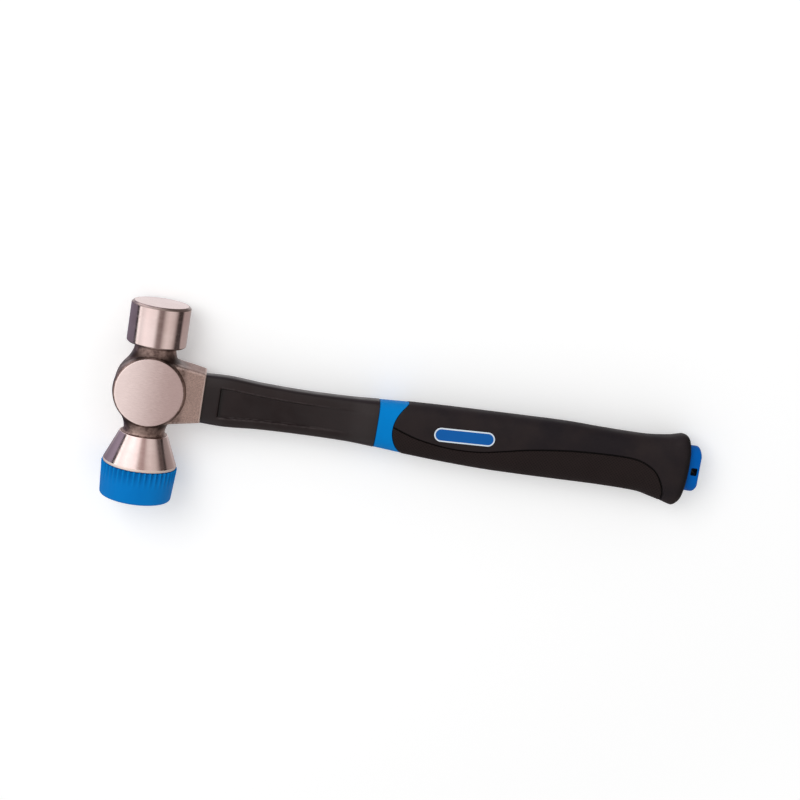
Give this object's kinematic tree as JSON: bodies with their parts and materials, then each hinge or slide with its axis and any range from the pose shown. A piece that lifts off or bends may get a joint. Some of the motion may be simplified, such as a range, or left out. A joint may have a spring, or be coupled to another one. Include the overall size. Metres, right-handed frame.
{
  "type": "two-faced shop hammer",
  "caption": "Hand hammer with a flat steel striking face, a replaceable soft plastic tip on a flared poll, and a moulded handle with a soft grip and lanyard tab.",
  "frame": {"origin": "middle of the base of the bounding box, with the hammer lying on its side", "axes": "+X down the handle towards the butt, +Y up the head towards the steel face, +Z across the head, with the badge side up"},
  "size_m": [0.3305, 0.1094, 0.0416],
  "materials": {
    "steel": "forged, with turned faces and ground cheeks",
    "tip_plastic": "satin moulded",
    "glass_fibre": "pultruded",
    "epoxy": "cast",
    "shank_plastic": "satin moulded",
    "sleeve_plastic": "satin moulded",
    "grip_rubber": "matte, fine grain",
    "pad_rubber": "stippled",
    "badge_plate": "domed, with a pale rim"
  },
  "bodies": {
    "hammer": {"hammer_head": "steel", "core_rod": "glass_fibre", "eye_bond": "epoxy", "shank": "shank_plastic", "inner_sleeve": "sleeve_plastic", "grip_shell": "grip_rubber", "palm_pad": "pad_rubber", "badge": "badge_plate"},
    "tip": {"soft_tip": "tip_plastic"}
  },
  "joints": [
    {"name": "tip_pull_off", "type": "slide", "parent": "hammer", "child": "tip", "axis": [0, -1, 0], "range_m": [0, 0.012]}
  ]
}
